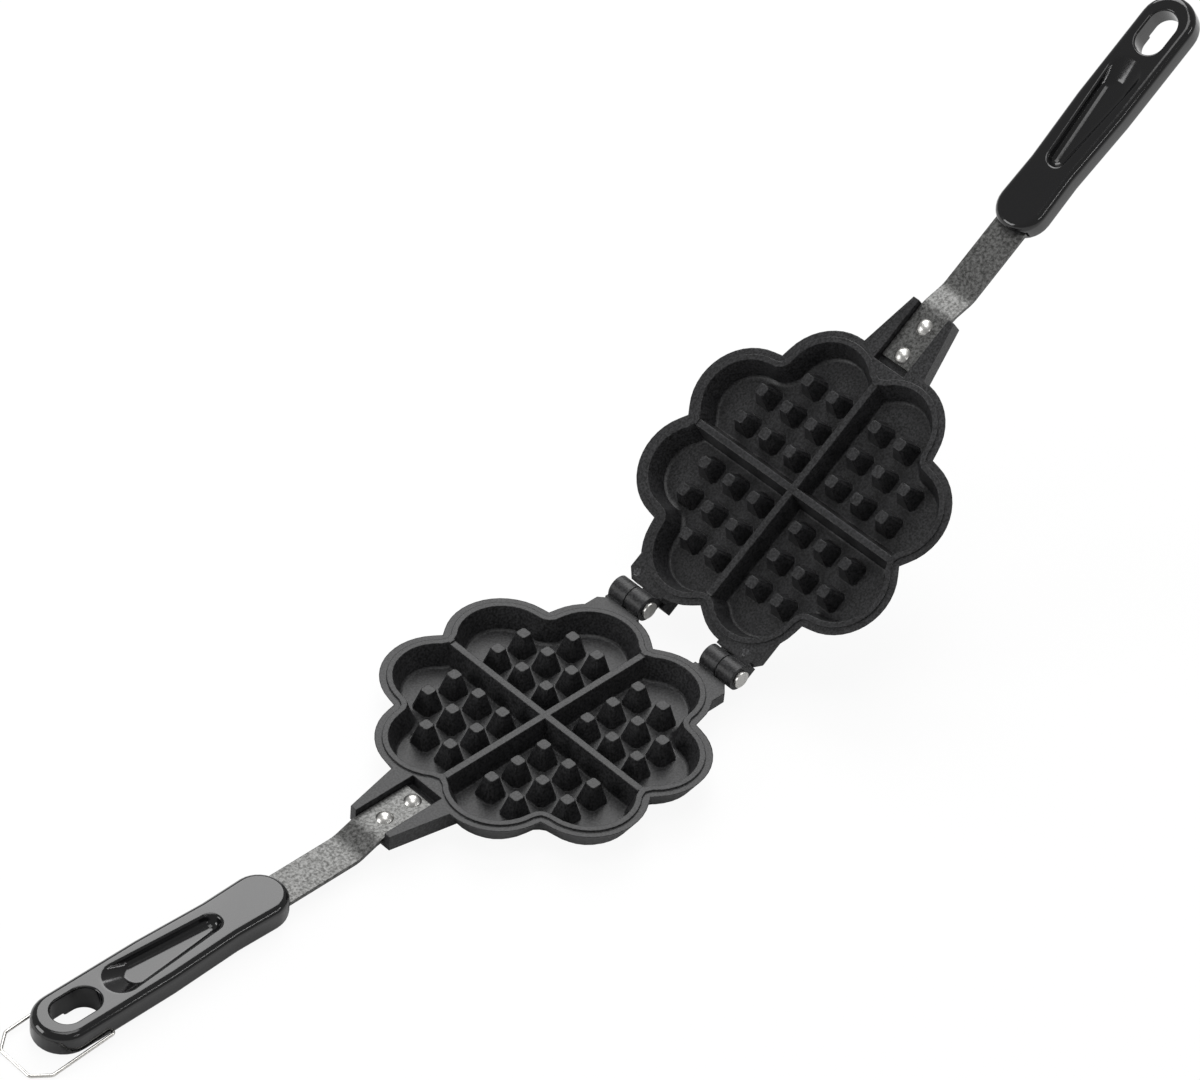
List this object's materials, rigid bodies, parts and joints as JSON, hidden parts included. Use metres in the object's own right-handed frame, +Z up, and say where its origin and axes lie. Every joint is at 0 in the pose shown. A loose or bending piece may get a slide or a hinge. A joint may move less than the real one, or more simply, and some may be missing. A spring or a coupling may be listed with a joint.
{
  "type": "stovetop waffle iron",
  "caption": "Hinged stovetop waffle iron: flower-shaped plates with heart moulds and square studs, long handles on riveted straps, and a wire bail that holds it shut.",
  "frame": {"origin": "middle of the lower plate's flat underside, where the iron rests on the hob or table", "axes": "+X from the lower handle toward the hinge, +Z up out of the lower plate, +Y across"},
  "size_m": [0.7013, 0.152, 0.238],
  "materials": {
    "coating": "dark grey non-stick coating on a cast aluminium plate, satin",
    "strap_steel": "sheet steel, slightly mottled",
    "rivet_aluminium": "bright",
    "phenolic": "black moulded phenolic, semi-gloss",
    "wire_steel": "bright drawn wire"
  },
  "bodies": {
    "lower_half": {"lower_plate": "coating", "lower_strap": "strap_steel", "lower_rivet_inner": "rivet_aluminium", "lower_rivet_outer": "rivet_aluminium", "lower_handle": "phenolic", "hinge_pin_left": "rivet_aluminium", "hinge_pin_right": "rivet_aluminium"},
    "upper_half": {"upper_plate": "coating", "upper_strap": "strap_steel", "upper_rivet_inner": "rivet_aluminium", "upper_rivet_outer": "rivet_aluminium", "upper_handle": "phenolic"},
    "bail": {"wire_bail": "wire_steel"}
  },
  "joints": [
    {"name": "plate_hinge", "type": "hinge", "parent": "lower_half", "child": "upper_half", "pos_m": [0.0844, 0, 0.017], "axis": [0, -1, 0], "range_deg": [0, 143.4]},
    {"name": "bail_pivot", "type": "hinge", "parent": "lower_half", "child": "bail", "pos_m": [-0.264, 0, 0.0042], "axis": [0, 1, 0], "range_deg": [0, 49.1]}
  ]
}
